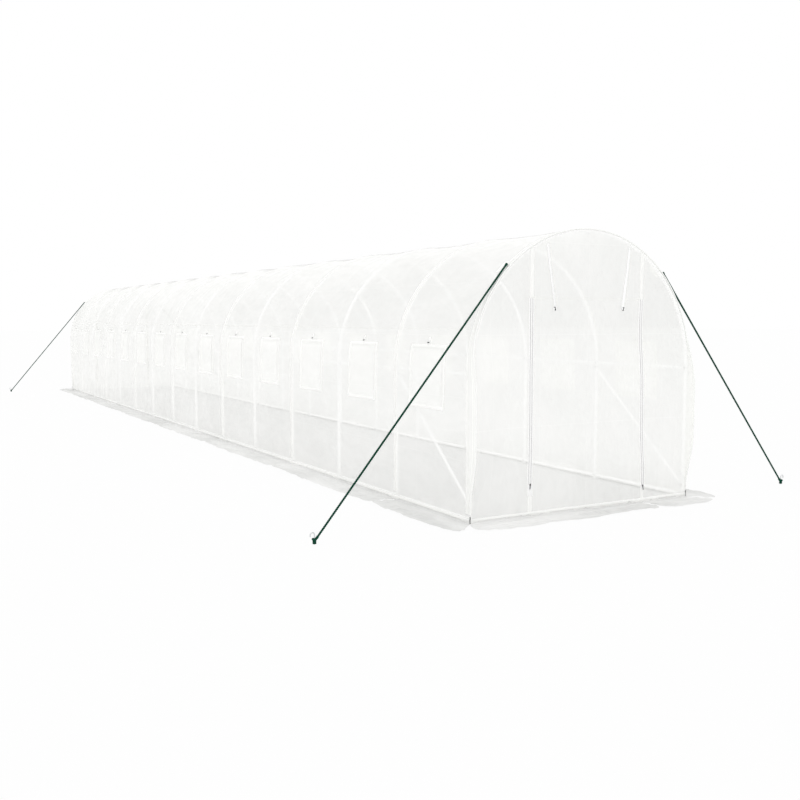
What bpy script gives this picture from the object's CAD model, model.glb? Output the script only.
# %% [markdown]
# # A long hooped tunnel greenhouse
# The real one is a garden tunnel: bolted steel hoops under a sewn cover of woven,
# milky polythene film. The steel comes ready made from the CAD model, which is
# loaded first and never moved. This script adds what a solid modeller can't show:
# sagging film, seams, zips, ties, a rumpled skirt and laid rope.

# %% Load the CAD frame
import math

import bmesh
import bpy
from mathutils import Matrix, Vector, noise


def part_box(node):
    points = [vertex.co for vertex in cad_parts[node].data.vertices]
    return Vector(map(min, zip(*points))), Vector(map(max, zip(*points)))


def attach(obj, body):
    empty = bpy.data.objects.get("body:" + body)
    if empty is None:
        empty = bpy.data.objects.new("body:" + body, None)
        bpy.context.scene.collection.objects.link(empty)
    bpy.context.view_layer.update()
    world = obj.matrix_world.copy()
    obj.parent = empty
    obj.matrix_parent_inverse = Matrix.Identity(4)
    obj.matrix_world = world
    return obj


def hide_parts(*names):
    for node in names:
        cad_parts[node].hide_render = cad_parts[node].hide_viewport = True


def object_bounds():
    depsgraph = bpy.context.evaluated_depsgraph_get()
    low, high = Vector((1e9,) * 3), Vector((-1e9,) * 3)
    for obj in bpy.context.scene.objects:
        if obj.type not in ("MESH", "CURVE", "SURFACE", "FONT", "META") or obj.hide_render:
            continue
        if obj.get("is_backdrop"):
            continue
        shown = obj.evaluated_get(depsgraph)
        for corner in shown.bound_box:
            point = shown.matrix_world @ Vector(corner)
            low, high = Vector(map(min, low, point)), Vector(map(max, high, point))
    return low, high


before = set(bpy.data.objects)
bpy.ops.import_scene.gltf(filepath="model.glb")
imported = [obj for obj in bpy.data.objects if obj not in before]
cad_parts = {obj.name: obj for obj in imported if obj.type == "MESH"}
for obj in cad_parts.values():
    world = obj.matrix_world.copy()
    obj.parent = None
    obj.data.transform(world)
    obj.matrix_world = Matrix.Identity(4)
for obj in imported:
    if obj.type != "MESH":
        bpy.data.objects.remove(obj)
cad_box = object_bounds()
print("CAD nodes:", len(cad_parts))

# %% [markdown]
# ## The tunnel's measures
# Every new piece has to meet the steel, so its sizes are read from the CAD nodes and
# not typed again. A node can hold several separate solids, such as fourteen window
# nets. Merging a copy's loose triangles and walking from corner to corner finds them.

# %% Read the measures
def solids_of(node):
    """The boxes of a node's separate solids, from the front end to the rear"""
    bm = bmesh.new()
    bm.from_mesh(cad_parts[node].data)
    bmesh.ops.remove_doubles(bm, verts=bm.verts, dist=1e-6)
    boxes, waiting = [], set(bm.verts)
    while waiting:
        edge, found = [waiting.pop()], []
        while edge:
            corner = edge.pop()
            found.append(corner.co.copy())
            fresh = {e.other_vert(corner) for e in corner.link_edges} & waiting
            waiting -= fresh
            edge.extend(fresh)
        boxes.append(tuple(Vector(pick(c[k] for c in found) for k in range(3))
                           for pick in (min, max)))
    bm.free()
    return sorted(boxes, key=lambda box: (round(box[0].y, 3), box[0].x))


def middle(node):
    low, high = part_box(node)
    return (low + high) / 2


bow_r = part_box("right_wall_cover")[1][0]
leg_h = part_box("roof_cover")[1][2] - bow_r
front_y, rear_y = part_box("roof_cover")[0][1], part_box("roof_cover")[1][1]
hoops = ["front_arch"] + [f"arch_{i:02d}" for i in range(2, 15)] + ["rear_arch"]
hoop_y = [middle(name).y for name in hoops]
bay = hoop_y[1] - hoop_y[0]
girth = 2 * leg_h + math.pi * bow_r


def girth_at(height):
    """How far up the cover that height is, measured round it from the left foot"""
    if height <= leg_h:
        return height
    return leg_h + bow_r * math.asin((height - leg_h) / bow_r)


seam_up = girth_at(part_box("right_wall_cover")[1][2])
windows = [(low.y, high.y) for low, high in solids_of("left_window_nets")]
sill_up = girth_at(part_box("left_window_nets")[0][2])
head_up = girth_at(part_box("left_window_nets")[1][2])
print(f"bow {bow_r:.3f}, legs {leg_h:.3f}, bay {bay:.4f}, girth {girth:.3f} metres,",
      len(windows), "windows a side")

# %% [markdown]
# ## Camera
# The camera stands low in front of the near corner, so that the length of the tunnel
# runs away to the left. A lens of about 42 mm takes it all in, and three of the four
# ropes. The one at the rear right corner is hidden by the tunnel.

# %% Set up the camera
tilt_down, turn_right = 0.085463, 0.516881
scene = bpy.context.scene
lens = bpy.data.cameras.new("camera")
lens.lens, lens.sensor_width, lens.clip_end = 41.83, 36, 300
camera = bpy.data.objects.new("camera", lens)
camera.location = (-4.412, -12.068, 1.358)
camera.rotation_euler = (math.pi / 2 - tilt_down, 0, -turn_right)
scene.collection.objects.link(camera)
scene.camera = camera
scene.view_settings.view_transform = "Standard"

# %% [markdown]
# ## Building with nodes
# Materials and shader groups are trees of nodes. Two small helpers keep the cells
# below short: one adds a node and joins or sets its sockets, the other starts a group
# with named inputs and outputs.

# %% Node helpers
def add(tree, kind, sockets=None, **settings):
    """Adds a shader node. A socket is joined if its value is another socket."""
    made = tree.nodes.new("ShaderNode" + kind)
    for name, value in settings.items():
        setattr(made, name, value)
    for name, value in (sockets or {}).items():
        if isinstance(value, bpy.types.NodeSocket):
            tree.links.new(value, made.inputs[name])
        else:
            made.inputs[name].default_value = value
    return made


def math_of(tree, operation, a, b=0.0, clamp=False):
    return add(tree, "Math", {0: a, 1: b}, operation=operation, use_clamp=clamp).outputs[0]


def ramp(tree, value, low, high, to_low=0.0, to_high=1.0):
    """Maps a value from one range to another with soft ends"""
    return add(tree, "MapRange", {0: value, 1: low, 2: high, 3: to_low, 4: to_high},
               interpolation_type="SMOOTHSTEP").outputs[0]


def plus(tree, base, value, share):
    """The base and a share of another value"""
    return math_of(tree, "ADD", base, math_of(tree, "MULTIPLY", value, share))


def mix_tones(tree, share, first, second):
    """A colour that goes from the first to the second as share goes from 0 to 1"""
    return add(tree, "Mix", {0: share, 6: tuple(first) + (1,), 7: tuple(second) + (1,)},
               data_type="RGBA").outputs[2]


def start_group(name, inputs, outputs):
    tree = bpy.data.node_groups.new(name, "ShaderNodeTree")
    for label, value in inputs.items():
        kind = "NodeSocketVector" if value is None else "NodeSocketFloat"
        socket = tree.interface.new_socket(label, in_out="INPUT", socket_type=kind)
        if value is not None:
            socket.default_value = value
    for label in outputs:
        tree.interface.new_socket(label, in_out="OUTPUT", socket_type="NodeSocketFloat")
    return tree, tree.nodes.new("NodeGroupInput").outputs, tree.nodes.new("NodeGroupOutput")


def use_group(tree, effect, **sockets):
    return add(tree, "Group", sockets, node_tree=effect).outputs


# %% [markdown]
# ## Light and floor
# Milky film shows best in an even light, so a bright sky does most of the work and one
# broad, weak sun on the front left gives it shape. The eye sees sky and floor as plain
# white in the open and a shade darker through the film, and inside the tunnel's outline
# no white is added to the floor at all. So part of the film's tone here is the stage's.
# Two things are given up for that. The added white hides the shadow outside the tunnel,
# and the floor is paler to light than to the eye, so it lights the film from below more
# than a floor of the colour that is seen would.

# %% Make the sky, the sun and the floor
def eye_rays(tree):
    """Rays that see the surroundings, by eye or mirrored, and eye rays through film"""
    ray = add(tree, "LightPath").outputs
    mirrored = math_of(tree, "ADD", ray["Is Glossy Ray"], ray["Is Transmission Ray"])
    seen = math_of(tree, "ADD", ray["Is Camera Ray"], mirrored, clamp=True)
    behind = math_of(tree, "GREATER_THAN", ray["Transparent Depth"], 0.5)
    return ray["Is Camera Ray"], seen, math_of(tree, "MULTIPLY", ray["Is Camera Ray"], behind)


sky_loss_through_film = 0.25
floor_to_light, floor_to_eye = 0.96, 0.725
floor_white_share = 0.96
floor_drop = 0.002
world = bpy.data.worlds.new("sky")
scene.world = world
world.use_nodes = True
sky = world.node_tree
sky.nodes.clear()
through = eye_rays(sky)[2]
strength = math_of(sky, "SUBTRACT", 1.0,
                   math_of(sky, "MULTIPLY", through, sky_loss_through_film))
air = add(sky, "Background", {"Color": (1, 1, 1, 1), "Strength": strength})
add(sky, "OutputWorld", {"Surface": air.outputs[0]})

sun_data = bpy.data.lights.new("sun", "SUN")
sun_data.energy, sun_data.angle = 0.5, math.radians(35)
sun = bpy.data.objects.new("sun", sun_data)
sun.rotation_euler = (math.radians(30), math.radians(-24), 0)
scene.collection.objects.link(sun)

bm = bmesh.new()
bmesh.ops.create_grid(bm, x_segments=8, y_segments=8, size=120)
bmesh.ops.translate(bm, verts=bm.verts, vec=(0, 0, -floor_drop))
floor_mesh = bpy.data.meshes.new("floor")
bm.to_mesh(floor_mesh)
bm.free()
floor = bpy.data.objects.new("floor", floor_mesh)
scene.collection.objects.link(floor)
floor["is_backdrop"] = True
paint = bpy.data.materials.new("floor_white")
paint.use_nodes = True
tree = paint.node_tree
tree.nodes.clear()
spot = add(tree, "SeparateXYZ", {0: add(tree, "TexCoord").outputs["Object"]}).outputs
past_side = math_of(tree, "SUBTRACT", math_of(tree, "ABSOLUTE", spot[0]), bow_r)
past_end = math_of(tree, "SUBTRACT", math_of(tree, "ABSOLUTE", spot[1]), rear_y)
outside = ramp(tree, math_of(tree, "MAXIMUM", past_side, past_end), -0.03, 0.0)
eye, seen, through = eye_rays(tree)
share = math_of(tree, "SUBTRACT", seen, through)
share = math_of(tree, "MULTIPLY", math_of(tree, "MULTIPLY", share, outside),
                floor_white_share)
tone = mix_tones(tree, eye, (floor_to_light,) * 3, (floor_to_eye,) * 3)
matt = add(tree, "BsdfDiffuse", {"Color": tone})
lit = add(tree, "Emission", {"Color": (1, 1, 1, 1), "Strength": 1.0})
both = add(tree, "MixShader", {0: share, 1: matt.outputs[0], 2: lit.outputs[0]})
add(tree, "OutputMaterial", {"Surface": both.outputs[0]})
floor_mesh.materials.append(paint)
print("sun", sun_data.energy, "- floor", floor_to_light, "to light,", floor_to_eye, "to the eye")

# %% [markdown]
# ## Effects for film and cloth
# Polythene film is woven from thin tapes and coated, so it shows a faint weave, clouds
# where the coating is thicker, the folds it was packed in and a fine crumple. Each is
# a group, because the cover, flaps and skirt all mix them in their own strengths.

# %% Cloudy coating
clouds, given, out = start_group("film_clouds", {"Vector": None}, ["Cloud"])
large = add(clouds, "TexNoise", {"Vector": given[0], "Scale": 2.0, "Detail": 3.0,
                                 "Roughness": 0.55, "Distortion": 0.6})
small = add(clouds, "TexNoise", {"Vector": given[0], "Scale": 7.0, "Detail": 2.0,
                                 "Roughness": 0.5})
mixed = math_of(clouds, "ADD", math_of(clouds, "MULTIPLY", large.outputs[0], 0.75),
                math_of(clouds, "MULTIPLY", small.outputs[0], 0.25))
clouds.links.new(ramp(clouds, mixed, 0.36, 0.64), out.inputs[0])

# %% Fine crumple
crumple, given, out = start_group("film_crumple", {"Vector": None, "Scale": 6.0},
                                  ["Height", "Crease"])
bent = add(crumple, "TexNoise", {"Vector": given[0], "Scale": 3.0, "Detail": 2.0})
warped = add(crumple, "VectorMath", {0: bent.outputs["Color"], 1: (0.16, 0.16, 0.16)},
             operation="MULTIPLY")
moved = add(crumple, "VectorMath", {0: given[0], 1: warped.outputs[0]}, operation="ADD")
facets = add(crumple, "TexVoronoi", {"Vector": moved.outputs[0], "Scale": given[1]},
             feature="F1")
edges = add(crumple, "TexVoronoi", {"Vector": moved.outputs[0], "Scale": given[1]},
            feature="DISTANCE_TO_EDGE")
crumple.links.new(facets.outputs["Distance"], out.inputs[0])
crumple.links.new(ramp(crumple, edges.outputs["Distance"], 0.0, 0.05, 1.0, 0.0),
                  out.inputs[1])

# %% Folds from packing
folds, given, out = start_group("pack_folds", {"Vector": None, "Across": 0.42,
                                               "Along": 0.63}, ["Fold"])
split = add(folds, "SeparateXYZ", {0: given[0]}).outputs
lines_of = []
for axis, pitch in ((0, given[1]), (1, given[2])):
    place = math_of(folds, "PINGPONG", split[axis], math_of(folds, "MULTIPLY", pitch, 0.5))
    lines_of.append(ramp(folds, place, 0.0, 0.006, 1.0, 0.0))
folds.links.new(math_of(folds, "MAXIMUM", *lines_of), out.inputs[0])

# %% Weave of flat tapes
weave, given, out = start_group("tape_weave", {"Vector": None, "Pitch": 0.004}, ["Height"])
split = add(weave, "SeparateXYZ", {0: given[0]}).outputs
waves = []
for axis in (0, 1):
    turns = math_of(weave, "DIVIDE", split[axis], given[1])
    waves.append(math_of(weave, "SINE", math_of(weave, "MULTIPLY", turns, math.tau)))
weave.links.new(math_of(weave, "MULTIPLY", *waves), out.inputs[0])

# %% Rows of stitches
stitches, given, out = start_group("stitch_rows", {"Vector": None, "Offset": 0.012},
                                   ["Stitch"])
split = add(stitches, "SeparateXYZ", {0: given[0]}).outputs
aside = math_of(stitches, "SUBTRACT", math_of(stitches, "ABSOLUTE", split[0]), given[1])
row = ramp(stitches, math_of(stitches, "ABSOLUTE", aside), 0.0006, 0.0012, 1.0, 0.0)
step = math_of(stitches, "FRACT", math_of(stitches, "DIVIDE", split[1], 0.005))
dash = ramp(stitches, math_of(stitches, "ABSOLUTE", math_of(stitches, "SUBTRACT", step, 0.5)),
            0.30, 0.38, 1.0, 0.0)
stitches.links.new(math_of(stitches, "MULTIPLY", row, dash), out.inputs[0])
print("effects:", [g.name for g in bpy.data.node_groups])

# %% [markdown]
# ## The film itself
# Film lets most light straight through, glows where it is lit from behind and has a
# soft skin gloss. That is a see-through shader mixed with a glossy and a translucent
# one. At a flat angle the eye looks through more of it, so Layer Weight makes it
# milkier there, which draws the bright band along the ridge. Quite edge on, the clear
# part takes up more light, as the edge of a pane of glass does. Layer Weight also sets
# how strong the relief is, so the folds don't look alike from every side.

# %% Film finishes
def start_finish(name):
    finish = bpy.data.materials.new(name)
    finish.use_nodes = True
    finish.node_tree.nodes.clear()
    return finish, finish.node_tree


def film_finish(name, milk, glow=0.4, white=0.98, uneven=0.98, crumpled=1.0, stitched=None,
                shine=0.4):
    """Woven film. milk is how much of the light it stops, and glow how much of that
    comes out on the far side, both from 0 to 1. crumpled scales the fine relief."""
    finish, tree = start_finish(name)
    flat = add(tree, "UVMap", uv_map="flat").outputs[0]
    drawn = add(tree, "VectorMath", {0: flat, 1: (1.0, 0.4, 1.0)}, operation="MULTIPLY")
    cloud = use_group(tree, clouds, Vector=drawn.outputs[0])["Cloud"]
    broad = use_group(tree, crumple, Vector=drawn.outputs[0], Scale=3.6)
    fine = use_group(tree, crumple, Vector=drawn.outputs[0], Scale=11.0)
    fold = use_group(tree, folds, Vector=flat)["Fold"]
    tapes = use_group(tree, weave, Vector=flat)["Height"]
    relief = math_of(tree, "MULTIPLY", broad["Height"], crumpled)
    for height, strength in ((fine["Height"], 0.22 * crumpled), (fold, 0.10), (tapes, 0.015)):
        relief = plus(tree, relief, height, strength)
    stops = plus(tree, milk - 0.05, cloud, 0.10)
    faint = math_of(tree, "MULTIPLY", math_of(tree, "MULTIPLY", broad["Crease"], cloud), 0.012)
    stops = math_of(tree, "ADD", stops, faint)
    stops = plus(tree, stops, fold, 0.02)
    if stitched:
        rows = use_group(tree, stitches, Vector=flat, Offset=stitched)["Stitch"]
        stops = plus(tree, stops, rows, 0.2)
        relief = math_of(tree, "SUBTRACT", relief, math_of(tree, "MULTIPLY", rows, 0.3))
    facing = add(tree, "LayerWeight", {"Blend": 0.5}).outputs["Facing"]
    flat_on = math_of(tree, "POWER", facing, 7.0)
    stops = math_of(tree, "ADD", stops, math_of(tree, "MULTIPLY", flat_on, 0.95), clamp=True)
    edge_on = ramp(tree, facing, 0.92, 0.985)
    stops = math_of(tree, "MULTIPLY", stops, ramp(tree, facing, 0.92, 0.985, 1.0, 0.65))
    calm = 0.05 if crumpled < 1.5 else 0.7
    bump = add(tree, "Bump", {"Strength": ramp(tree, facing, 0.55, 0.95, 0.30, calm),
                              "Distance": 0.006, "Height": relief})
    low = white * uneven
    tone = mix_tones(tree, cloud, (low, low * 1.003, low * 0.99), (white, white, white * 0.99))
    skin = add(tree, "BsdfPrincipled", {
        "Base Color": tone, "Roughness": ramp(tree, cloud, 0, 1, 0.50, 0.34),
        "Specular IOR Level": shine, "Normal": bump.outputs[0]})
    lit_through = add(tree, "BsdfTranslucent", {"Color": tone, "Normal": bump.outputs[0]})
    body = add(tree, "MixShader", {0: glow, 1: skin.outputs[0], 2: lit_through.outputs[0]})
    glassy = mix_tones(tree, edge_on, (0.993, 0.993, 0.988), (0.4, 0.4, 0.4))
    clear = add(tree, "BsdfTransparent", {"Color": glassy})
    whole = add(tree, "MixShader", {0: stops, 1: clear.outputs[0], 2: body.outputs[0]})
    add(tree, "OutputMaterial", {"Surface": whole.outputs[0]})
    return finish


cover_film = film_finish("cover_film", 0.45)
weld_film = film_finish("weld_film", 0.12, crumpled=0.2)
hem_film = film_finish("hem_film", 0.80, white=0.99, crumpled=0.4, stitched=0.012)
skirt_film = film_finish("skirt_film", 0.88, glow=0.2, white=0.82, uneven=0.86, crumpled=2.2,
                         shine=0.1)
flap_film = film_finish("flap_film", 0.86, glow=0.5, white=0.975, crumpled=0.7)
binding = film_finish("binding", 0.95, white=0.995, crumpled=0.2, stitched=0.004)
scene.cycles.transparent_max_bounces = 28
scene.cycles.max_bounces = 16
scene.cycles.diffuse_bounces = 10
scene.cycles.transmission_bounces = 16
print("film finishes are made")

# %% [markdown]
# ## Net, webbing, plastic, steel and rope
# The window net is a grid of threads with holes between them. Webbing has a ribbed
# weave. The tubes are coated white and the bolts and pegs are zinc plated, and neither is
# quite even, so colour and roughness shift from place to place. The rope is a dull, dark
# green twist of fine fibres.

# %% Net and webbing
net_finish, tree = start_finish("net_white")
flat = add(tree, "UVMap", uv_map="flat").outputs[0]
split = add(tree, "SeparateXYZ", {0: flat}).outputs
threads = []
for axis in (0, 1):
    place = math_of(tree, "PINGPONG", split[axis], 0.0008)
    threads.append(ramp(tree, place, 0.0002, 0.00045, 1.0, 0.0))
thread = math_of(tree, "MAXIMUM", *threads)
cloud = use_group(tree, clouds, Vector=flat)["Cloud"]
holds = math_of(tree, "ADD", math_of(tree, "MULTIPLY", thread, 0.40),
                math_of(tree, "MULTIPLY", cloud, 0.06), clamp=True)
bump = add(tree, "Bump", {"Strength": 0.4, "Distance": 0.0005, "Height": thread})
yarn = add(tree, "BsdfPrincipled", {"Base Color": (0.98, 0.98, 0.97, 1), "Roughness": 0.6,
                                    "Normal": bump.outputs[0]})
glowing = add(tree, "BsdfTranslucent", {"Color": (0.98, 0.98, 0.97, 1)})
yarn = add(tree, "MixShader", {0: 0.5, 1: yarn.outputs[0], 2: glowing.outputs[0]})
gap = add(tree, "BsdfTransparent")
both = add(tree, "MixShader", {0: holds, 1: gap.outputs[0], 2: yarn.outputs[0]})
add(tree, "OutputMaterial", {"Surface": both.outputs[0]})


def webbing_finish(name, colour, rib=0.0022, rough=0.6):
    """Woven tape with ribs across it"""
    finish, tree = start_finish(name)
    flat = add(tree, "UVMap", uv_map="flat").outputs[0]
    ribs = use_group(tree, weave, Vector=flat, Pitch=rib)["Height"]
    fuzz = add(tree, "TexNoise", {"Vector": flat, "Scale": 180.0, "Detail": 3.0}).outputs[0]
    height = math_of(tree, "ADD", math_of(tree, "MULTIPLY", ribs, 0.5), fuzz)
    bump = add(tree, "Bump", {"Strength": 0.5, "Distance": 0.0006, "Height": height})
    shade = ramp(tree, height, 0.0, 1.2)
    tone = mix_tones(tree, shade, (c * 0.92 for c in colour), colour)
    body = add(tree, "BsdfPrincipled", {"Base Color": tone, "Roughness": rough,
                                        "Normal": bump.outputs[0]})
    add(tree, "OutputMaterial", {"Surface": body.outputs[0]})
    return finish


webbing = webbing_finish("webbing_white", (0.97, 0.97, 0.965))
zip_tape = webbing_finish("zip_tape", (0.96, 0.96, 0.955), rib=0.0015)
zip_edge = webbing_finish("zip_edge", (0.06, 0.063, 0.066), rib=0.0015)

# %% Steel, plastic and rope
def solid_finish(name, colour, metallic, rough, spread, scale, bumpy, shine=0.5):
    """A solid material whose colour and roughness vary from place to place"""
    finish, tree = start_finish(name)
    place = add(tree, "TexCoord").outputs["Object"]
    cells = add(tree, "TexVoronoi", {"Vector": place, "Scale": scale}).outputs["Color"]
    crystal = add(tree, "RGBToBW", {0: cells}).outputs[0]
    wear = add(tree, "TexNoise", {"Vector": place, "Scale": scale * 0.3, "Detail": 5.0})
    blend = math_of(tree, "ADD", math_of(tree, "MULTIPLY", crystal, 0.5),
                    math_of(tree, "MULTIPLY", wear.outputs[0], 0.5))
    tone = mix_tones(tree, blend, (c * (1 - spread) for c in colour),
                     (min(1.0, c * (1 + spread)) for c in colour))
    bump = add(tree, "Bump", {"Strength": bumpy, "Distance": 0.0004,
                              "Height": wear.outputs[0]})
    body = add(tree, "BsdfPrincipled", {
        "Base Color": tone, "Metallic": metallic,
        "Roughness": ramp(tree, blend, 0.2, 0.8, rough - 0.1, rough + 0.1),
        "Specular IOR Level": shine, "Normal": bump.outputs[0]})
    add(tree, "OutputMaterial", {"Surface": body.outputs[0]})
    return finish


tube_steel = solid_finish("tube_steel", (0.96, 0.96, 0.965), 0.0, 0.35, 0.015, 160, 0.15)
bolt_zinc = solid_finish("bolt_zinc", (0.72, 0.72, 0.71), 1.0, 0.34, 0.08, 400, 0.2)
peg_zinc = solid_finish("peg_zinc", (0.70, 0.71, 0.72), 1.0, 0.38, 0.10, 300, 0.25)
welt_white = solid_finish("welt_white", (0.90, 0.905, 0.89), 0.0, 0.45, 0.05, 90, 0.3)
loop_white = solid_finish("loop_white", (0.92, 0.92, 0.91), 0.0, 0.6, 0.06, 900, 0.6)
coil_white = solid_finish("coil_white", (0.88, 0.88, 0.87), 0.0, 0.35, 0.05, 400, 0.2)
toggle_plastic = solid_finish("toggle_plastic", (0.05, 0.052, 0.055), 0.0, 0.45, 0.3, 500, 0.3)
rope_green = solid_finish("rope_green", (0.009, 0.060, 0.037), 0.0, 0.8, 0.30, 1400, 0.6,
                          shine=0.02)
print("finishes:", len(bpy.data.materials))

# %% [markdown]
# ## Steel
# Hoops, rails, braces and pegs keep their CAD meshes, which are already right. They
# only swap the plain CAD material for a white coat on the tubes and zinc on the pegs.

# %% Finish the steel
steel_nodes = hoops + ["ridge_purlin", "left_mid_rail", "right_mid_rail",
                       "left_base_rail", "right_base_rail", "front_base_tube",
                       "rear_base_tube", "front_corner_braces", "rear_corner_braces"]
for name in steel_nodes:
    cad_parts[name].data.materials[0] = tube_steel
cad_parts["ground_pegs"].data.materials[0] = peg_zinc
print("steel nodes:", len(steel_nodes) + 1)

# %% [markdown]
# ## Cutting sheets
# All film pieces start flat, as cloth on a table: a grid whose lines fall where a
# later edge must be. The flat measures stay on each piece as its UV map, so weave and
# folds follow the cloth however it hangs. Then each corner is moved to its place.

# %% Sheet helpers
def soft(low, high, value):
    """0 below low, 1 above high, and an even curve between"""
    part = min(1.0, max(0.0, (value - low) / (high - low)))
    return part * part * (3 - 2 * part)


def lines(start, end, step, marks=()):
    """Even steps from start to end, the nearest lines moved onto the marks"""
    count = max(1, round((end - start) / step))
    values = [start + (end - start) * k / count for k in range(count + 1)]
    for mark in marks:
        if start < mark < end:
            nearest = min(range(1, count), key=lambda k: abs(values[k] - mark))
            values[nearest] = mark
    return values


def flat_cut(across, along):
    """A flat sheet with its grid on those lines and its flat metres as UV map"""
    bm = bmesh.new()
    bmesh.ops.create_grid(bm, x_segments=len(across) - 1, y_segments=len(along) - 1,
                          size=0.5)
    for corner in bm.verts:
        corner.co.x = across[round((corner.co.x + 0.5) * (len(across) - 1))]
        corner.co.y = along[round((corner.co.y + 0.5) * (len(along) - 1))]
    flat = bm.loops.layers.uv.new("flat")
    for face in bm.faces:
        face.smooth = True
        for loop in face.loops:
            loop[flat].uv = loop.vert.co.xy
    return bm


def empty_cloth():
    """An empty bmesh that strips with a flat UV map can be joined into"""
    bm = bmesh.new()
    bm.loops.layers.uv.new("flat")
    return bm


def smooth(bm, is_smooth=True):
    for face in bm.faces:
        face.smooth = is_smooth


def number_faces(bm, number):
    """Gives all faces the same material number"""
    for face in bm.faces:
        face.material_index = number


def take_out(bm, unwanted):
    """Deletes the faces whose middle is unwanted"""
    gone = [f for f in bm.faces if unwanted(*f.calc_center_median()[:2])]
    bmesh.ops.delete(bm, geom=gone, context="FACES")


def lay(bm, place):
    """Moves each corner from the flat sheet to its place on the tunnel"""
    for corner in bm.verts:
        corner.co = place(corner.co.x, corner.co.y)


def finish_piece(bm, name, slot, *finishes):
    mesh = bpy.data.meshes.new(name)
    bm.to_mesh(mesh)
    bm.free()
    for finish in finishes:
        mesh.materials.append(finish)
    piece = bpy.data.objects.new(name, mesh)
    scene.collection.objects.link(piece)
    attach(piece, "root")
    print(f"{name}: {len(mesh.polygons)} faces")
    return piece


# %% [markdown]
# ## How the film lies on the hoops
# The film is tight over each hoop and sinks a little between two, more on the bow than
# on the walls. It carries soft pulls along the girth, a few sharp wrinkles, and upright
# gathers near the foot where it is sewn to the skirt. One rule gives the depth for any
# point, so that roof, walls, nets and seams always meet.

# %% The lie of the film
def film_depth(up, along):
    """How far the film lies inside the line of the hoops, in metres"""
    part = min(1.0, max(0.0, ((along - hoop_y[0]) / bay) % 1.0))
    if not hoop_y[0] < along < hoop_y[-1]:
        part = 0.0
    span = 4 * part * (1 - part)
    number = math.floor((along - hoop_y[0]) / bay)
    height = min(up, girth - up)
    side = 0.0 if up < girth / 2 else 7.0
    slack = 0.0055 + 0.0065 * soft(0.8, 1.7, height)
    slack *= 1 + 0.25 * noise.noise((number * 1.7 + 0.3, side, 0.5))
    pulls = 0.0030 * noise.noise((along * 1.6, up * 0.9, 2.0))
    ridged = 1 - abs(noise.noise((along * 3.5, up * 2.4, 5.0)))
    wrinkles = 0.0016 * ridged ** 6
    foot = 1 - soft(0.05, 0.75, height)
    gather = 0.0026 * foot * noise.noise((along * 5.0, up * 1.1, side + 9.0))
    edge = min(1.0, 4 * span)
    return 0.0012 + slack * span + edge * max(-0.004, pulls - wrinkles + gather)


def slack_at(z, y):
    """How far the loose lower corners of an end wall push the cover past its hoop"""
    depth = soft(0.05, 0.50, z) * soft(1.30, 0.85, z)
    if y < 0:
        return -0.070 * depth * soft(hoop_y[0] + 0.02, front_y, y)
    return 0.030 * depth * soft(hoop_y[-1] - 0.02, rear_y, y)


def over_hoops(up, along, out):
    """The point that far round the girth, along the tunnel and out from the bow"""
    along += slack_at(min(up, girth - up), along)
    if up < leg_h:
        return Vector((-bow_r - out, along, up))
    if up > girth - leg_h:
        return Vector((bow_r + out, along, girth - up))
    turn = (up - leg_h) / bow_r
    reach = bow_r + out
    return Vector((-reach * math.cos(turn), along, leg_h + reach * math.sin(turn)))


def on_film(up, along, proud=0.0):
    return over_hoops(up, along, proud - film_depth(up, along))


def bay_lines(step, marks=()):
    """Lines along the tunnel, one of them on every hoop"""
    values = [front_y]
    for low, high in zip(hoop_y, hoop_y[1:]):
        values += lines(low, high, step, [m for m in marks if low < m < high])[:-1]
    return values + [hoop_y[-1], rear_y]


# %% [markdown]
# ## Roof and walls
# The roof is one sheet from seam to seam over the bow. Each wall is a second sheet,
# with a hole where every window is. Grid lines are moved onto the windows' edges, so
# that the holes are cut by deleting whole faces.

# %% Make the roof
film_steps = (0.027, 0.028)
film_foot = 0.003
bm = flat_cut(lines(seam_up, girth - seam_up, film_steps[0]), bay_lines(film_steps[1]))
lay(bm, on_film)
roof = finish_piece(bm, "roof_film", "cover_film", cover_film)
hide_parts("roof_cover")

# %% Make the walls
def in_window(up, along):
    up = min(up, girth - up)
    return sill_up < up < head_up and any(a < along < b for a, b in windows)


window_edges = [y for window in windows for y in window]
walls = {}
for side, start, end in (("left", film_foot, seam_up),
                         ("right", girth - seam_up, girth - film_foot)):
    marks = (sill_up, head_up) if side == "left" else (girth - head_up, girth - sill_up)
    bm = flat_cut(lines(start, end, film_steps[0], marks),
                  bay_lines(film_steps[1], window_edges))
    take_out(bm, in_window)
    lay(bm, on_film)
    walls[side] = finish_piece(bm, f"{side}_wall_film", "cover_film", cover_film)
    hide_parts(f"{side}_wall_cover")

# %% [markdown]
# ## Seams and hems of the cover
# The cover is sewn from two-metre widths. A flat seam runs over every second hoop, one
# more joins roof and wall, and a wide hem goes round both end hoops. They are extra
# layers of film, so each is its own strip, bent by the same rule as the film below it
# and lying a millimetre or two proud.

# %% Make the seams
def strip_lines(middle_at, width):
    return [middle_at + width * k for k in (-0.5, -0.47, -0.2, 0, 0.2, 0.47, 0.5)]


def strip_rise(aside, width, thick):
    """Height of a seam's face, lowest at its two edges"""
    return 0.0004 + thick * soft(0.5, 0.42, abs(aside) / width)


def recentre(bm, axis, middle_at):
    """Moves a strip's UV map so that its own middle line is zero"""
    flat = bm.loops.layers.uv["flat"]
    for face in bm.faces:
        for loop in face.loops:
            place = loop[flat].uv.copy()
            if axis == 1:
                place.x, place.y = place.y, place.x
            place.x -= middle_at
            loop[flat].uv = place


def join(into, piece):
    """Copies one bmesh into another and frees it"""
    mesh = bpy.data.meshes.new("joined")
    piece.to_mesh(mesh)
    piece.free()
    into.from_mesh(mesh)
    bpy.data.meshes.remove(mesh)


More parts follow.
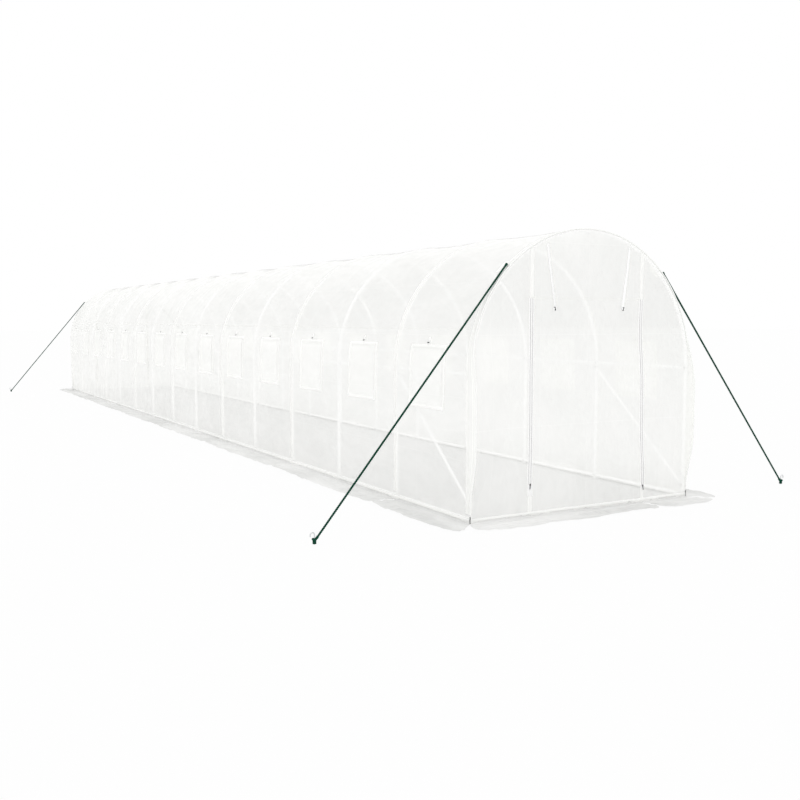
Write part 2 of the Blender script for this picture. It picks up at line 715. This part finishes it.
seam_foot = 0.07
hoop_seam, long_seam, end_hem, end_hem_inset = 0.036, 0.014, 0.050, 0.026


def seam_over_hoop(y, width, thick=0.0016):
    bm = flat_cut(lines(seam_foot, girth - seam_foot, 0.03), strip_lines(y, width))
    recentre(bm, 1, y)
    lay(bm, lambda up, along: on_film(up, along, strip_rise(along - y, width, thick)))
    return bm


seams = empty_cloth()
for y in hoop_y[1:-1:2]:
    join(seams, seam_over_hoop(y, hoop_seam))
for middle_up in (seam_up, girth - seam_up):
    bm = flat_cut(strip_lines(middle_up, long_seam), bay_lines(0.04))
    recentre(bm, 0, middle_up)
    lay(bm, lambda up, along: on_film(up, along, strip_rise(up - middle_up, long_seam, 0.0006)))
    number_faces(bm, 1)
    join(seams, bm)
cover_seams = finish_piece(seams, "cover_seams", "cover_film", hem_film, weld_film)

# %% Make the hems round the end hoops
hems = empty_cloth()
for edge_y, inwards in ((front_y, 1), (rear_y, -1)):
    join(hems, seam_over_hoop(edge_y + inwards * end_hem_inset, end_hem, 0.0014))
end_hems = finish_piece(hems, "end_hems", "cover_film", hem_film)

# %% [markdown]
# At the foot, where the skirt is sewn on, a bound white hem runs along both sides. It
# catches the light as a bright line just above the ground.

# %% Make the foot hems of the sides
foot_hem, foot_wide = 0.024, 0.030
side_hems = empty_cloth()
for middle_up in (foot_hem, girth - foot_hem):
    bm = flat_cut(strip_lines(middle_up, foot_wide), bay_lines(0.04))
    recentre(bm, 0, middle_up)
    lay(bm, lambda up, along: on_film(up, along, 0.0042 + strip_rise(
        up - middle_up, foot_wide, 0.0012)))
    join(side_hems, bm)
foot_hems = finish_piece(side_hems, "side_foot_hems", "cover_film", binding)

# %% [markdown]
# A thin welt closes the corner between cover and end wall. It is a round cord in a
# sleeve, so a small circle is extruded up the leg, spun over the bow and taken down the
# other side.

# %% Make the welts
def hoop_cord(y, thick):
    bm = bmesh.new()
    ring = bmesh.ops.create_circle(bm, segments=8, radius=thick)["verts"]
    bmesh.ops.translate(bm, verts=ring, vec=(-bow_r + 0.002, y, seam_foot))
    ring_edges = list(bm.edges)
    rise = bmesh.ops.spin(bm, geom=ring + ring_edges, cent=(0, 0, 0), axis=(0, 0, 1), angle=0,
                          dvec=(0, 0, (leg_h - seam_foot) / 24), steps=24)["geom_last"]
    over = bmesh.ops.spin(bm, geom=rise, cent=(0, y, leg_h), axis=(0, 1, 0), angle=math.pi,
                          steps=72)["geom_last"]
    bmesh.ops.spin(bm, geom=over, cent=(0, 0, 0), axis=(0, 0, 1), angle=0,
                   dvec=(0, 0, (seam_foot - leg_h) / 24), steps=24)
    for corner in bm.verts:
        corner.co.y += slack_at(corner.co.z, math.copysign(rear_y, y))
    bmesh.ops.recalc_face_normals(bm, faces=bm.faces)
    smooth(bm)
    return bm


end_inset, welt_r = 0.0015, 0.0035
welts = bmesh.new()
for y in (front_y + end_inset, rear_y - end_inset):
    join(welts, hoop_cord(y, welt_r))
end_welts = finish_piece(welts, "end_welts", "cover_film", welt_white)

# %% [markdown]
# ## End walls and doors
# An end wall is cut flat to the outline of the bow. The sheet starts as a square grid
# and planes set round the bow slice off what lies outside, which follows the curve more
# closely than picking faces. Wall and door use one rule for their folds, so they meet
# at the zips. On the front, the cloth beside the right-hand zip has slipped sideways.

# %% The lie of an end wall
slip = {"front": 1.0, "rear": 0.35}


def end_shift(x, z, end):
    """How far the cloth near the right-hand zip has slipped to the side"""
    near = soft(0.46, 0.0, abs(x - 0.5))
    low = soft(1.35, 0.25, z)
    waver = 0.007 * math.sin(7.5 * z + 0.6) * soft(1.5, 1.2, z) * soft(0.02, 0.2, z)
    return slip[end] * near * (0.044 * low + waver)


def end_depth(x, z, end):
    """How far the end wall stands out from its flat plane, in metres"""
    rim = bow_r - (abs(x) if z < leg_h else math.hypot(x, z - leg_h))
    free = soft(0.0, 0.16, rim)
    swell = abs(slack_at(z, front_y if end == "front" else rear_y)) * soft(0.34, 0.0, rim)
    seed = 3.0 if end == "front" else 11.0
    broad = 0.0075 * noise.noise((x * 1.6, z * 1.1, seed))
    upright = 0.0035 * noise.noise((x * 7.0, z * 0.8, seed + 2))
    ridged = 1 - abs(noise.noise((x * 5.0 + z * 1.5, z * 3.0, seed + 4)))
    zip_side = soft(0.16, 0.0, abs(abs(x) - 0.5)) * soft(1.62, 1.4, z)
    pucker = 0.0022 * noise.noise((x * 3.0, z * 16.0, seed + 6)) * zip_side
    foot = 1 - soft(0.0, 0.5, z)
    gather = 0.005 * foot * noise.noise((x * 12.0, z * 1.5, seed + 8))
    return swell + free * (broad + upright - 0.0022 * ridged ** 6 + pucker + gather)


def end_place(x, z, proud, end):
    """A point on an end wall. The rear one is the front one turned half round."""
    out = proud + end_depth(x, z, end)
    x += end_shift(x, z, end)
    if end == "front":
        return Vector((x, front_y + end_inset - out, z))
    return Vector((-x, rear_y - end_inset + out, z))


def trim_to_bow(bm, radius, planes=72):
    """Slices off a flat sheet in x and y all that lies outside the bow"""
    for k in range(planes):
        angle = math.pi * (k + 0.5) / planes
        side = Vector((math.cos(angle), math.sin(angle), 0))
        bmesh.ops.bisect_plane(bm, geom=bm.verts[:] + bm.edges[:] + bm.faces[:], dist=1e-5,
                               plane_co=side * radius + Vector((0, leg_h, 0)),
                               plane_no=side, clear_outer=True)


# %% Make the end walls and doors
door_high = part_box("front_door")[1]
door_x, door_top = door_high.x, door_high.z
trim_r = bow_r - 0.003
end_step = 0.02
for end in ("front", "rear"):
    bm = flat_cut(lines(-trim_r, trim_r, end_step, (-door_x, door_x)),
                  lines(film_foot, leg_h + trim_r, end_step, (door_top,)))
    take_out(bm, lambda x, z: abs(x) < door_x and z < door_top)
    trim_to_bow(bm, trim_r)
    lay(bm, lambda x, z: end_place(x, z, 0.0, end))
    wall = finish_piece(bm, f"{end}_wall_film", "cover_film", cover_film)
    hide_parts(f"{end}_wall")
    bm = flat_cut(lines(-door_x, door_x, end_step), lines(film_foot, door_top, end_step))
    lay(bm, lambda x, z: end_place(x, z, 0.0, end))
    door = finish_piece(bm, f"{end}_door_film", "cover_film", cover_film)
    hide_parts(f"{end}_door")
    walls[end], walls[end + "_door"] = wall, door

# %% [markdown]
# The panels beside a door are sewn on up to the bow, and the door hangs from a hem. A
# short strip covers the gap below each zip and a bound hem runs along the foot. At both
# corners five centimetres of dark tape stand for the edge of a short slit, which isn't
# cut here. All are narrow strips again, each with its own material number.

# %% Make the seams of the end walls
def end_strip(x0, z0, x1, z1, width, thick, end, proud=0.0006):
    """A sewn strip on an end wall between two points"""
    run = Vector((x1 - x0, z1 - z0))
    aside = Vector((run.y, -run.x)).normalized()
    bm = flat_cut(strip_lines(0, width), lines(0, run.length, 0.02))

    def place(off, along):
        spot = Vector((x0, z0)) + run * (along / run.length) + aside * off
        return end_place(spot.x, spot.y, proud + strip_rise(off, width, thick), end)
    lay(bm, place)
    return bm


rim_at_zip = leg_h + math.sqrt(trim_r ** 2 - door_x ** 2)
for end in ("front", "rear"):
    strips = empty_cloth()
    for side in (-1, 1):
        join(strips, end_strip(side * door_x, door_top - 0.01, side * door_x,
                               rim_at_zip - 0.004, 0.030, 0.0012, end))
        join(strips, end_strip(side * door_x, 0.01, side * door_x, 0.16, 0.034, 0.0010, end))
    for x0, z0, x1, z1, width, kind in (
            (-door_x, door_top, door_x, door_top, 0.024, 1),
            (-trim_r, foot_hem, trim_r, foot_hem, foot_wide, 2),
            (-trim_r, 0.006, -trim_r, 0.055, 0.008, 3), (trim_r, 0.006, trim_r, 0.055, 0.008, 3)):
        bm = end_strip(x0, z0, x1, z1, width, 0.0012, end, 0.0045 if kind > 1 else 0.0014)
        number_faces(bm, kind)
        join(strips, bm)
    walls[end + "_strips"] = finish_piece(strips, f"{end}_wall_seams", "cover_film", hem_film,
                                          weld_film, binding, zip_edge)

# %% [markdown]
# ## Zips
# A zip is a white tape with a coil down its middle, and above the slider a dark edge on
# each side of the coil. The coil is a row of small loops, so every second row of corners stands higher
# than its neighbours. The slider is a bevelled block with a flat pull hanging from it.

# %% Make the zips
zip_low = min(box[0].z for box in solids_of("front_door_zips"))
coil_half, dark_from, dark_to = 0.0035, 0.0082, 0.0101
# Distance from the middle line and height of each column, on one half of the tape
half_tape = ((0.0, 0.0040), (coil_half, 0.0022), (dark_from, 0.0016), (0.0100, 0.0016),
             (0.0102, 0.0012), (0.020, 0.0008))
profile = sorted({(way * off, rise) for off, rise in half_tape for way in (-1, 1)})
columns, rises = zip(*profile)
shut_at = {("front", -1): 0.228, ("front", 1): 0.13}


def round_off(bm, made, edges, by):
    """Rounds the edges and gives every corner of what was made"""
    cut = bmesh.ops.bevel(bm, geom=edges, offset=by, segments=2, profile=0.5,
                          affect="EDGES", material=-1)
    return list({v for f in cut["faces"] for v in f.verts} | {v for v in made if v.is_valid})


def small_block(bm, size, matrix, bevel):
    """A block with rounded edges"""
    made = bmesh.ops.create_cube(bm, size=1.0)["verts"]
    bmesh.ops.scale(bm, verts=made, vec=size)
    edges = list({e for v in made for e in v.link_edges})
    bmesh.ops.transform(bm, matrix=matrix, verts=round_off(bm, made, edges, bevel))


def end_matrix(x, z, proud, end):
    """Local X to the side, local Y up and local Z out of an end wall"""
    spot = end_place(x, z, proud, end)
    turn = Matrix(((1, 0, 0), (0, 0, -1), (0, 1, 0))).to_4x4()
    if end == "rear":
        turn = Matrix.Rotation(math.pi, 4, "Z") @ turn
    return Matrix.Translation(spot) @ turn


for end in ("front", "rear"):
    tapes, sliders = empty_cloth(), bmesh.new()
    for side in (-1, 1):
        slider_z = shut_at.get((end, side), zip_low + 0.012)
        bm = flat_cut(columns, lines(min(zip_low, slider_z - 0.02), door_top, 0.0026))
        for face in bm.faces:
            off, z = abs(face.calc_center_median().x), face.calc_center_median().y
            dark = dark_from < off < dark_to and z > slider_z
            face.material_index = 1 if dark else 2 if off < coil_half else 0
        rows = {z: k for k, z in enumerate(sorted({round(v.co.y, 5) for v in bm.verts}))}

        def on_zip(off, z):
            tooth = 0.0011 * (rows[round(z, 5)] % 2) * (abs(off) < 0.0036)
            rise = rises[min(range(len(columns)), key=lambda k: abs(columns[k] - off))]
            return end_place(side * door_x + off, z, rise + tooth + 0.0012, end)
        lay(bm, on_zip)
        join(tapes, bm)
        foot = end_matrix(side * door_x, slider_z, 0.007, end)
        small_block(sliders, (0.009, 0.014, 0.006), foot, 0.0013)
        swing = Matrix.Rotation(math.radians(7 * side), 4, "Z")
        pull = foot @ swing @ Matrix.Translation((0, -0.018, 0.002))
        small_block(sliders, (0.006, 0.026, 0.002), pull, 0.0008)
    zips = finish_piece(tapes, f"{end}_zip_tapes", "zip_tape", zip_tape, zip_edge, coil_white)
    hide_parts(f"{end}_door_zips")
    smooth(sliders, False)
    walls[end + "_zips"] = zips
    walls[end + "_sliders"] = finish_piece(sliders, f"{end}_zip_sliders", "zip_tape",
                                           toggle_plastic)

# %% [markdown]
# ## Door straps
# Two webbing straps hang from under the bow and hold the door when it is rolled up. A
# strap is a narrow strip that leans inwards and swings free of the film towards its
# lower end, where a dark toggle is threaded through a small loop.

# %% Make the straps and toggles
def barrel(bm, radius, length, matrix):
    """A small barrel with rounded ends, along its local Y axis"""
    made = bmesh.ops.create_cone(bm, cap_ends=True, segments=14, radius1=radius,
                                 radius2=radius, depth=length)["verts"]
    rims = [e for e in {e for v in made for e in v.link_edges}
            if abs(e.verts[0].co.z - e.verts[1].co.z) < 1e-6]
    made = round_off(bm, made, rims, radius * 0.35)
    across = Matrix.Rotation(math.pi / 2, 4, "X")
    bmesh.ops.transform(bm, matrix=matrix @ across, verts=made)


strap_low, strap_high = solids_of("front_door_straps")[1]
strap_top, strap_foot = strap_high.z, strap_low.z
strap_wide = 0.018
for end in ("front", "rear"):
    straps, toggles = empty_cloth(), bmesh.new()
    for side in (-1, 1):
        x_top = side * (strap_high.x - strap_wide / 2)
        x_foot = side * (strap_low.x + strap_wide / 2)
        bm = flat_cut(lines(-strap_wide / 2, strap_wide / 2, strap_wide / 4),
                      lines(0, 1, 0.025))
        flat = bm.loops.layers.uv["flat"]
        for face in bm.faces:
            for loop in face.loops:
                loop[flat].uv.y *= strap_top - strap_foot

        def on_strap(off, down):
            sway = 0.006 * math.sin(3.3 * down + side) * down
            twist = 0.5 * math.sin(2.6 * down) * down * side
            x = x_top + (x_foot - x_top) * down + sway + off * math.cos(twist)
            z = strap_top + (strap_foot - strap_top) * down
            return end_place(x, z, 0.003 + 0.010 * down ** 2 + off * math.sin(twist), end)
        lay(bm, on_strap)
        join(straps, bm)
        knob = end_matrix(x_foot, strap_foot - 0.004, 0.016, end)
        lean = Matrix.Rotation(math.radians(-18 * side), 4, "Z")
        barrel(toggles, 0.0046, 0.026, knob @ lean)
        small_block(straps, (0.020, 0.012, 0.005), knob, 0.001)
    piece = finish_piece(straps, f"{end}_door_ties", "strap_webbing", webbing)
    piece.modifiers.new("cloth", "SOLIDIFY").thickness = 0.0014
    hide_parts(f"{end}_door_straps")
    smooth(toggles)
    walls[end + "_ties"] = piece
    walls[end + "_toggles"] = finish_piece(toggles, f"{end}_tie_toggles", "strap_webbing",
                                           toggle_plastic)

# %% [markdown]
# ## Windows
# Each window is a hole with an insect net sewn in and a film flap over it on the
# outside. The flap has a bound edge and is closed: it hangs from its upper edge and its
# lower corners stand a little off the wall. Nets and flaps of one side are cut from one
# long strip, and the parts between the windows are taken out.

# %% Make the nets
def on_side(side, up):
    """A place on the left wall's girth, or the same place on the right wall"""
    return up if side == "left" else girth - up


def one_side(side, low_up, high_up):
    """A stretch of girth on the left wall, or the same stretch on the right one"""
    return (low_up, high_up) if side == "left" else (girth - high_up, girth - low_up)


for side in ("left", "right"):
    along = [y for a, b in windows for y in lines(a, b, 0.035)]
    bm = flat_cut(lines(*one_side(side, sill_up, head_up), 0.035), along)
    take_out(bm, lambda up, y: not any(a < y < b for a, b in windows))
    lay(bm, on_film)
    walls[side + "_nets"] = finish_piece(bm, f"{side}_nets", "window_net", net_finish)
    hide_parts(f"{side}_window_nets")

# %% Make the flaps
flaps_low, flaps_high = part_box("left_window_flaps")
flap_spans = [(low.y, high.y) for low, high in solids_of("left_window_flaps")]
flap_sill, flap_head = girth_at(flaps_low.z), girth_at(flaps_high.z)
bound = 0.020


def edge_lines(start, end, step):
    """Even lines with two close to each end, where the binding stops"""
    inner = lines(start + bound + 0.0015, end - bound - 0.0015, step)
    return [start, start + 0.004, start + bound] + inner + [end - bound, end - 0.004, end]


def flap_lie(side, up, y):
    up_here = on_side(side, up)
    number = min(range(len(flap_spans)), key=lambda k: abs(sum(flap_spans[k]) / 2 - y))
    start, end = flap_spans[number]
    rim = min(y - start, end - y, up_here - flap_sill, flap_head - up_here)
    down = (flap_head - up_here) / (flap_head - flap_sill)
    across = (y - start) / (end - start)
    wilful = noise.noise((number * 3.1, 0.0 if side == "left" else 5.0, 1.5))
    curl = 0.012 * soft(0.75, 1.0, down) * (0.6 + wilful) * abs(2 * across - 1) ** 1.5
    belly = 0.004 * math.sin(math.pi * across) * math.sin(math.pi * min(1, down))
    ripple = 0.0014 * noise.noise((y * 9, up * 4, number * 0.7))
    thick = 0.0015 * soft(bound + 0.001, bound, rim) * soft(-0.001, 0.004, rim)
    return on_film(up, y, 0.0045 + curl + belly + ripple + thick)


for side in ("left", "right"):
    along = [y for a, b in flap_spans for y in edge_lines(a, b, 0.03)]
    bm = flat_cut(edge_lines(*one_side(side, flap_sill, flap_head), 0.03), along)
    take_out(bm, lambda up, y: not any(a < y < b for a, b in flap_spans))
    for face in bm.faces:
        up, y = face.calc_center_median()[:2]
        up = on_side(side, up)
        start, end = min(flap_spans, key=lambda span: abs(sum(span) / 2 - y))
        rim = min(y - start, end - y, up - flap_sill, flap_head - up)
        face.material_index = 1 if rim < bound + 0.0008 else 0
    lay(bm, lambda up, y: flap_lie(side, up, y))
    walls[side + "_flaps"] = finish_piece(bm, f"{side}_flaps", "window_flap", flap_film,
                                          binding)
    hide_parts(f"{side}_window_flaps")

# %% [markdown]
# A loop of webbing and a dark toggle sit above the middle of each window, to hold the
# flap when it is rolled up.

# %% Make the window ties
def film_matrix(up, y, proud):
    """Local X up round the girth, local Y along the tunnel, local Z out of the film"""
    turn = min(math.pi, max(0.0, (up - leg_h) / bow_r))
    upward = Vector((math.sin(turn), 0, math.cos(turn)))
    outward = Vector((-math.cos(turn), 0, math.sin(turn)))
    turned = Matrix((upward, Vector((0, 1, 0)), outward)).transposed().to_4x4()
    return Matrix.Translation(on_film(up, y, proud)) @ turned


for side in ("left", "right"):
    ties, toggles = bmesh.new(), bmesh.new()
    for start, end in flap_spans:
        sign = 1 if side == "left" else -1
        spot = film_matrix(on_side(side, flap_head + 0.022), (start + end) / 2, 0.004)
        small_block(ties, (0.058, 0.014, 0.003), spot, 0.0006)
        knob = spot @ Matrix.Translation((-0.010 * sign, 0, 0.008))
        barrel(toggles, 0.0038, 0.018, knob @ Matrix.Rotation(math.radians(9), 4, "Z"))
    for bm in (ties, toggles):
        bmesh.ops.recalc_face_normals(bm, faces=bm.faces)
        smooth(bm)
    walls[side + "_loops"] = finish_piece(ties, f"{side}_flap_loops", "strap_webbing",
                                          loop_white)
    walls[side + "_pegs"] = finish_piece(toggles, f"{side}_flap_toggles", "strap_webbing",
                                         toggle_plastic)

# %% [markdown]
# ## Skirt
# The skirt is sewn to the foot of the wall, turns outwards on a soft bend and lies on
# the ground, where earth would hold it down. It is made in two-metre lengths whose free
# edge swings in towards both ends, and it never lies flat: it ruffles between its ends.

# %% The lie of the skirt
skirt_w = -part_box("left_skirt")[0].x - bow_r
rise, bend = 0.022, 0.009
skirt_cut_w = skirt_w + (rise - bend) + bend * math.pi / 2 - bend


def skirt_place(run, down, start, end, seed):
    """How far out and how high a point of the skirt lies, and how far it shifts along"""
    if down < rise - bend:
        out, high = 0.0, rise - down
    elif down < rise - bend + bend * math.pi / 2:
        turn = (down - rise + bend) / bend
        out, high = bend * (1 - math.cos(turn)), bend * (1 - math.sin(turn))
    else:
        out, high = down - (rise - bend) - bend * (math.pi / 2 - 1), 0.0
    aside = min(run - start, end - run)
    corner = min(1.0, aside / 0.09)
    swing = (0.72 + 0.20 * math.sqrt(corner * (2 - corner))
             + 0.08 * math.sin(math.pi * (run - start) / (end - start)))
    swing += 0.05 * noise.noise((run * 4.0, seed, 1.0)) * corner
    spread = out / skirt_w
    out *= swing
    ruffle = abs(noise.noise((run * 4.0, spread * 1.6, seed)))
    ruffle += 0.5 * abs(noise.noise((run * 11.0, spread * 3.0, seed + 4)))
    high += 0.0020 + 0.019 * ruffle * soft(0.02, 0.5, spread)
    wall_fold = 0.0015 * noise.noise((run * 12.0, down * 4.0, seed + 8)) * soft(0, 0.02, down)
    drift = 0.010 * noise.noise((run * 3.0, spread * 2.0, seed + 6)) * spread
    return out + 0.0035 + max(-0.002, wall_fold), high, drift


def ear(run, out, reach, length):
    """How far the free corner of a skirt swings past the corner of the tunnel"""
    past = reach * min(1.0, out / 0.15) * soft(length - 0.28, length, abs(run))
    return math.copysign(past, run)


def make_skirt(name, boxes, axis, place):
    """Lays every length of one skirt and gives it its finish"""
    skirt = empty_cloth()
    for number, (low, high) in enumerate(boxes):
        start, end = low[axis], high[axis]
        bm = flat_cut([0, 0.006] + lines(rise - bend, skirt_cut_w, 0.013),
                      lines(start, end, 0.022))
        seed = number * 1.37 + len(name)
        lay(bm, lambda down, run: place(run, *skirt_place(run, down, start, end, seed)))
        join(skirt, bm)
    piece = finish_piece(skirt, name, "skirt_film", skirt_film)
    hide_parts(name.replace("_film", ""))
    return piece


# %% Lay the skirts
skirt_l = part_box("left_skirt")[1].y
skirt_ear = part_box("front_skirt")[1].x - bow_r


def beside(way, reach):
    """How a side skirt lies, with way -1 for the left one and 1 for the right one"""
    return lambda run, out, high, drift: Vector((
        way * (bow_r + out), run + drift + ear(run, out, reach, skirt_l), high))


def in_front(run, out, high, drift):
    """The sewn edge ends at the corner, the outer edge reaches past it"""
    sewn = skirt_ear * (1 - min(1.0, out / 0.20))
    run -= math.copysign(sewn * soft(bow_r - 0.3, bow_r + skirt_ear, abs(run)), run)
    return Vector((run + drift, front_y - out, high))


def behind(run, out, high, drift):
    spot = in_front(-run, out, high, -drift)
    return Vector((-spot.x, rear_y + out, high))


skirt_places = {"left": (1, beside(-1, 0.15)), "right": (1, beside(1, 0.13)),
                "front": (0, in_front), "rear": (0, behind)}
for side, (axis, place) in skirt_places.items():
    make_skirt(f"{side}_skirt_film", solids_of(f"{side}_skirt"), axis, place)

# %% [markdown]
# ## Guy ropes
# A laid rope is three strands twisted round each other. Each strand starts as a small
# circle beside the rope's axis; spinning it round that axis while stepping forward winds
# the helix. The straight rope is then turned and moved to run from knot to peg. It is
# taut from end to end, and its tail is wound round the peg below the loop.

# %% Twist the ropes
rope_r = 0.0076
strands_off_axis = 1.155
strand_r = rope_r / (1 + strands_off_axis)
strand_off = strand_r * strands_off_axis


def strand_coil(bm, length, pitch=0.042, steps_a_turn=11):
    """Three strands twisted round the local Z axis, from 0 up to length"""
    steps = round(length / pitch * steps_a_turn)
    for k in range(3):
        ring = bmesh.ops.create_circle(bm, segments=7, radius=strand_r)["verts"]
        bmesh.ops.translate(bm, verts=ring, vec=(strand_off, 0, 0))
        bmesh.ops.rotate(bm, verts=ring, cent=(0, 0, 0),
                         matrix=Matrix.Rotation(math.tau * k / 3, 3, "Z"))
        around = list({e for v in ring for e in v.link_edges})
        bmesh.ops.spin(bm, geom=ring + around, cent=(0, 0, 0), axis=(0, 0, 1),
                       dvec=(0, 0, length / steps), angle=math.tau * length / pitch,
                       steps=steps)


def turn_ring(bm, radius, thick, matrix, segments=28, sides=10):
    """A closed ring of rope or wire round the local Z axis"""
    ring = bmesh.ops.create_circle(bm, segments=sides, radius=thick)["verts"]
    bmesh.ops.rotate(bm, verts=ring, cent=(0, 0, 0),
                     matrix=Matrix.Rotation(math.pi / 2, 3, "X"))
    bmesh.ops.translate(bm, verts=ring, vec=(radius, 0, 0))
    around = list({e for v in ring for e in v.link_edges})
    before = set(bm.verts) - set(ring)
    bmesh.ops.spin(bm, geom=ring + around, cent=(0, 0, 0), axis=(0, 0, 1), use_merge=True,
                   angle=math.tau, steps=segments)
    made = [v for v in bm.verts if v not in before]
    bmesh.ops.transform(bm, matrix=matrix, verts=made)


peg_boxes, rope_boxes = solids_of("ground_pegs"), solids_of("guy_ropes")
peg_r = 0.004
loop_thick = rope_r * 0.85
loop_r = peg_r + 0.0005 + loop_thick
knot_r, knot_thick = 0.0048, 0.0046
tail_thick, tail_step = 0.0042, 0.008
for number, ((low, high), (peg_low, peg_high)) in enumerate(zip(rope_boxes, peg_boxes)):
    side = 1 if low.x > 0 else -1
    y = (low.y + high.y) / 2
    top = Vector(((low.x if side > 0 else high.x) + side * 0.016, y, high.z - 0.016))
    peg_axis = peg_low.x + peg_r if side > 0 else peg_high.x - peg_r
    loop_z = low.z + 0.0065
    foot = Vector((peg_axis - side * loop_r, y, loop_z))
    run = foot - top
    bm = bmesh.new()
    strand_coil(bm, run.length - 0.004)
    aim = run.to_track_quat("Z", "Y").to_matrix().to_4x4()
    along_rope = Matrix.Translation(top) @ aim
    near_peg = Matrix.Translation(foot) @ aim
    bmesh.ops.transform(bm, matrix=along_rope, verts=bm.verts)
    for base, at, lean in ((along_rope, -0.002, 9), (along_rope, 0.006, -8),
                           (near_peg, -0.008, 12), (near_peg, -0.016, -9)):
        turn_ring(bm, knot_r, knot_thick, base @ Matrix.Translation((0, 0, at))
                  @ Matrix.Rotation(math.radians(lean), 4, "Y"))
    turn_ring(bm, loop_r, loop_thick, Matrix.Translation((peg_axis, y, loop_z)))
    for turn in range(3):
        turn_ring(bm, peg_r + 0.0044, tail_thick,
                  Matrix.Translation((peg_axis, y, loop_z - 0.0095 - tail_step * turn)))
    bmesh.ops.recalc_face_normals(bm, faces=bm.faces)
    smooth(bm)
    rope = finish_piece(bm, f"guy_rope_{number + 1}", "guy_rope", rope_green)
    if number == 0:
        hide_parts("guy_ropes")
    print(f"rope {number + 1} is {run.length:.3f} m long")

# %% [markdown]
# The rope goes through the cover at a patch with a metal eyelet, so that it pulls on the
# hoop and not on the film. A patch is a small square of doubled film with a ring.

# %% Make the eyelet patches
patches, eyelets = empty_cloth(), bmesh.new()
knot_up = girth_at(leg_h + bow_r * math.sin(math.radians(46)))
patch_half, eyelet_r, eyelet_thick = 0.05, 0.0105, 0.0024
for tie_y in (hoop_y[0], hoop_y[-1]):
    inward = 1 if tie_y < 0 else -1
    for up_at in (knot_up, girth - knot_up):
        mid_y = tie_y + inward * 0.034
        bm = flat_cut(lines(up_at - patch_half, up_at + patch_half, 0.01),
                      lines(mid_y - patch_half, mid_y + patch_half, 0.01))
        recentre(bm, 0, up_at)
        lay(bm, lambda up, y: on_film(up, y, 0.0032))
        outside = [v for v in bm.verts if not front_y <= v.co.y <= rear_y]
        bmesh.ops.delete(bm, geom=outside, context="VERTS")
        join(patches, bm)
        turn_ring(eyelets, eyelet_r, eyelet_thick, film_matrix(up_at, tie_y, 0.004), 24, 8)
smooth(eyelets)
patch = finish_piece(patches, "tie_patches", "cover_film", hem_film)
finish_piece(eyelets, "eyelets", "peg_steel", bolt_zinc)

# %% [markdown]
# ## Bolts
# Every squashed rail end is held by one bolt. What shows on the inner side is a washer,
# a hexagon nut and the tip of the bolt: three short cones with ends, one on another.
# One rule places them wherever a rail crosses a hoop.

# %% Make the bolts
# Sides, radius, height and place of the middle of the washer, the nut and the tip
bolt_parts = (16, 0.0075, 0.0014, 0.0007), (6, 0.0058, 0.005, 0.0039), (10, 0.003, 0.005, 0.0089)


def add_bolt(bm, spot, facing):
    """Washer, nut and bolt tip standing on spot and pointing along facing"""
    aim = Vector(facing).to_track_quat("Z", "Y").to_matrix().to_4x4()
    base = Matrix.Translation(spot) @ aim
    for sides, radius, tall, at in bolt_parts:
        made = bmesh.ops.create_cone(bm, cap_ends=True, segments=sides, radius1=radius,
                                     radius2=radius * 0.96, depth=tall)["verts"]
        bmesh.ops.transform(bm, matrix=base @ Matrix.Translation((0, 0, at)), verts=made)


bolts = bmesh.new()
tab = 0.0015
rail_x = middle("right_mid_rail").x
for y in hoop_y:
    add_bolt(bolts, (0, y, middle("ridge_purlin").z - tab), (0, 0, -1))
    for side in (-1, 1):
        for rail in ("right_mid_rail", "right_base_rail"):
            add_bolt(bolts, (side * (rail_x - tab), y, middle(rail).z), (-side, 0, 0))
arch_low, arch_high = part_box("front_arch")
leg_x = (arch_high.x - arch_low.x) / 2 - (arch_high.y - arch_low.y) / 2
for node, way in (("front_base_tube", 1), ("rear_base_tube", -1)):
    for side in (-1, 1):
        add_bolt(bolts, (side * leg_x, middle(node).y + way * tab, middle(node).z),
                 (0, way, 0))
brace_low, brace_high = solids_of("front_corner_braces")[0]
end_r = 0.0095
for way in (-1, 1):
    for side in (-1, 1):
        for y, z in ((hoop_y[0], brace_low.z + end_r), (hoop_y[1], brace_high.z - end_r)):
            add_bolt(bolts, (side * (rail_x - tab - 0.0002), -way * y, z), (-side, 0, 0))
finish_piece(bolts, "frame_bolts", "steel_tube", bolt_zinc)

# %% [markdown]
# ## Cloth facts
# Every piece of cloth is declared with the size it was cut to. The finish step measures
# each one against it, which catches film that a rule has stretched by mistake.

for side in ("left", "right"):
    skirt_long = sum(high.y - low.y for low, high in solids_of(f"{side}_skirt"))
for end in ("front", "rear"):
    wide = sum(high.x - low.x for low, high in solids_of(f"{end}_skirt"))
print("sheets declared")

# %% Finish
low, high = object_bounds()
{"cad": [list(c) for c in cad_box], "visual": [list(low), list(high)]}
